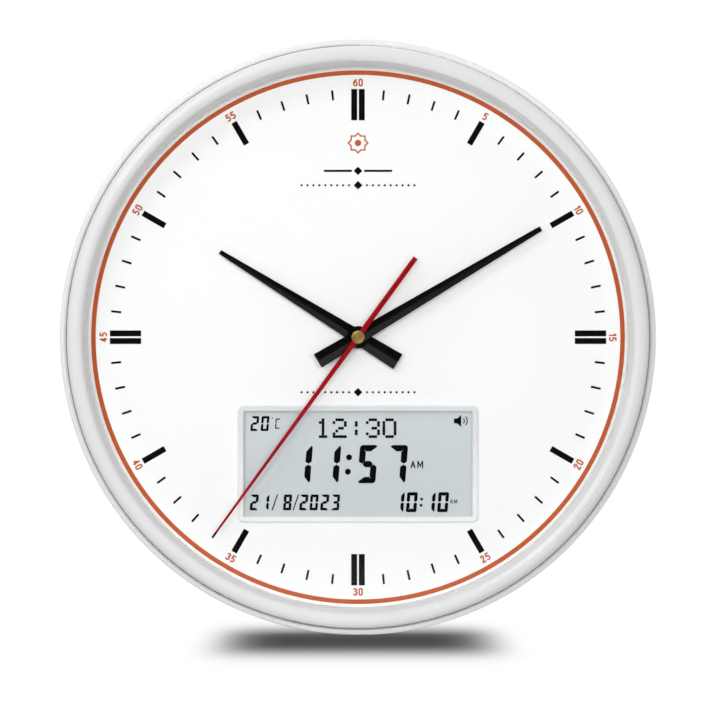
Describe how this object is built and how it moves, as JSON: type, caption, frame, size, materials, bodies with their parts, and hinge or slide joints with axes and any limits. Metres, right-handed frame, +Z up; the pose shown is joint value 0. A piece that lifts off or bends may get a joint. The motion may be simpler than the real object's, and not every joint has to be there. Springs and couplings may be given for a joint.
{
  "type": "wall clock with digital display",
  "caption": "Round white wall clock: domed bezel, printed dial, three hands over a liquid crystal display window, speaker grille, buttons and battery door behind.",
  "frame": {"origin": "centre of the round hole in the hanger plate, which hangs on the wall screw, at the middle of the plate's thickness", "axes": "the dial faces -Y, the wall is the plane Y = 0.0085, +Z is up towards twelve o'clock; the hands' axis is at X = 0, Z = -0.110"},
  "size_m": [0.3306, 0.046, 0.3306],
  "materials": {
    "white_gloss": "gloss",
    "white_satin": "satin",
    "white_dial": "matte",
    "lens": "clear",
    "print_black": "matte",
    "print_orange": "matte",
    "hand_black": "satin",
    "hand_red": "satin",
    "brass": "turned",
    "lcd_glass": "satin",
    "lcd_ink": "matte",
    "grey_plastic": "satin",
    "black_plastic": "satin",
    "movement_plastic": "satin",
    "gear_white": "satin",
    "gear_green": "satin",
    "board_green": "satin",
    "board_brown": "satin",
    "steel": "brushed",
    "steel_bright": "polished",
    "magnet": "matte",
    "paper_black": "matte",
    "copper": "wound",
    "rubber_black": "matte",
    "button_grey": "satin",
    "cell_sleeve": "gloss",
    "lead_red": "satin",
    "lead_black": "satin"
  },
  "bodies": {
    "clock": {"back_cover": "white_gloss", "front_bezel": "white_gloss", "front_lens": "lens", "spacer_ring": "white_satin", "dial_plate": "white_dial", "dial_print_black": "print_black", "dial_print_orange": "print_orange", "lcd_frame": "white_satin", "lcd_panel": "lcd_glass", "lcd_segments": "lcd_ink", "lcd_holder": "grey_plastic", "zebra_strip": "rubber_black", "main_board": "board_green", "board_chips": "black_plastic", "board_capacitors": "cell_sleeve", "quartz_crystals": "steel_bright", "lead_sockets": "gear_white", "button_switches": "black_plastic", "slide_switch": "black_plastic", "speaker_frame": "steel", "speaker_cone": "paper_black", "speaker_magnet": "magnet", "speaker_leads": "lead_black", "aa_cells": "cell_sleeve", "battery_springs": "steel_bright", "battery_contacts": "steel_bright", "battery_leads": "lead_red", "hanger_plate": "steel", "case_screws": "steel_bright", "small_screws": "steel_bright", "movement_front_case": "movement_plastic", "movement_back_case": "movement_plastic", "threaded_bush": "brass", "fixing_nut": "brass", "fixing_washer": "rubber_black", "stator": "steel", "coil": "copper", "movement_board": "board_brown"},
    "second_hand": {"second_hand": "hand_red", "second_hand_cap": "brass", "second_wheel": "gear_white"},
    "minute_hand": {"minute_hand": "hand_black", "cannon_pinion": "gear_green"},
    "hour_hand": {"hour_hand": "hand_black", "hour_wheel": "gear_green"},
    "rotor": {"rotor": "gear_white"},
    "intermediate_wheel": {"intermediate_wheel": "gear_white"},
    "third_wheel": {"third_wheel": "gear_green"},
    "centre_wheel": {"centre_wheel": "gear_white"},
    "minute_wheel": {"minute_wheel": "gear_white"},
    "setting_knob": {"setting_knob": "button_grey"},
    "slide_switch_knob": {"slide_switch_knob": "button_grey"},
    "battery_door": {"battery_door": "white_gloss"},
    "button_1": {"button_1": "button_grey"},
    "button_2": {"button_2": "button_grey"},
    "button_3": {"button_3": "button_grey"},
    "button_4": {"button_4": "button_grey"},
    "button_5": {"button_5": "button_grey"},
    "button_6": {"button_6": "button_grey"}
  },
  "joints": [
    {"name": "second_hand_spin", "type": "hinge", "parent": "clock", "child": "second_hand", "pos_m": [0, -0.0115, -0.11], "axis": [0, 1, 0], "continuous": true},
    {"name": "minute_hand_spin", "type": "hinge", "parent": "clock", "child": "minute_hand", "pos_m": [0, -0.0115, -0.11], "axis": [0, 1, 0], "continuous": true},
    {"name": "hour_hand_spin", "type": "hinge", "parent": "clock", "child": "hour_hand", "pos_m": [0, -0.0115, -0.11], "axis": [0, 1, 0], "continuous": true},
    {"name": "rotor_spin", "type": "hinge", "parent": "clock", "child": "rotor", "pos_m": [-0.00588, -0.0115, -0.09669], "axis": [0, 1, 0], "continuous": true},
    {"name": "intermediate_wheel_spin", "type": "hinge", "parent": "clock", "child": "intermediate_wheel", "pos_m": [-0.00308, -0.0115, -0.10154], "axis": [0, 1, 0], "continuous": true},
    {"name": "third_wheel_spin", "type": "hinge", "parent": "clock", "child": "third_wheel", "pos_m": [0.00812, -0.0115, -0.10704], "axis": [0, 1, 0], "continuous": true},
    {"name": "centre_wheel_spin", "type": "hinge", "parent": "clock", "child": "centre_wheel", "pos_m": [0, -0.0115, -0.11], "axis": [0, 1, 0], "continuous": true},
    {"name": "minute_wheel_spin", "type": "hinge", "parent": "clock", "child": "minute_wheel", "pos_m": [-0.00902, -0.0115, -0.11328], "axis": [0, 1, 0], "continuous": true},
    {"name": "setting_knob_spin", "type": "hinge", "parent": "clock", "child": "setting_knob", "pos_m": [-0.01733, -0.0115, -0.10848], "axis": [0, 1, 0], "continuous": true},
    {"name": "button_1_press", "type": "slide", "parent": "clock", "child": "button_1", "axis": [0, -1, 0], "range_m": [0, 0.0012], "stiffness_N_per_m": 400, "springref_m": -0.001},
    {"name": "button_2_press", "type": "slide", "parent": "clock", "child": "button_2", "axis": [0, -1, 0], "range_m": [0, 0.0012], "stiffness_N_per_m": 400, "springref_m": -0.001},
    {"name": "button_3_press", "type": "slide", "parent": "clock", "child": "button_3", "axis": [0, -1, 0], "range_m": [0, 0.0012], "stiffness_N_per_m": 400, "springref_m": -0.001},
    {"name": "button_4_press", "type": "slide", "parent": "clock", "child": "button_4", "axis": [0, -1, 0], "range_m": [0, 0.0012], "stiffness_N_per_m": 400, "springref_m": -0.001},
    {"name": "button_5_press", "type": "slide", "parent": "clock", "child": "button_5", "axis": [0, -1, 0], "range_m": [0, 0.0012], "stiffness_N_per_m": 400, "springref_m": -0.001},
    {"name": "button_6_press", "type": "slide", "parent": "clock", "child": "button_6", "axis": [0, -1, 0], "range_m": [0, 0.0012], "stiffness_N_per_m": 400, "springref_m": -0.001},
    {"name": "slide_switch_throw", "type": "slide", "parent": "clock", "child": "slide_switch_knob", "axis": [1, 0, 0], "range_m": [0, 0.004]},
    {"name": "battery_door_hinge", "type": "hinge", "parent": "clock", "child": "battery_door", "pos_m": [0.078, 0.0055, -0.04105], "axis": [1, 0, 0], "range_deg": [0, 100]}
  ],
  "couplings": [
    {"joint": "intermediate_wheel_spin", "follows": "second_hand_spin", "ratio": -5},
    {"joint": "rotor_spin", "follows": "second_hand_spin", "ratio": 30},
    {"joint": "third_wheel_spin", "follows": "second_hand_spin", "ratio": -0.13333},
    {"joint": "centre_wheel_spin", "follows": "second_hand_spin", "ratio": 0.016667},
    {"joint": "minute_wheel_spin", "follows": "minute_hand_spin", "ratio": -0.33333},
    {"joint": "hour_hand_spin", "follows": "minute_hand_spin", "ratio": 0.083333},
    {"joint": "setting_knob_spin", "follows": "minute_hand_spin", "ratio": 1}
  ]
}
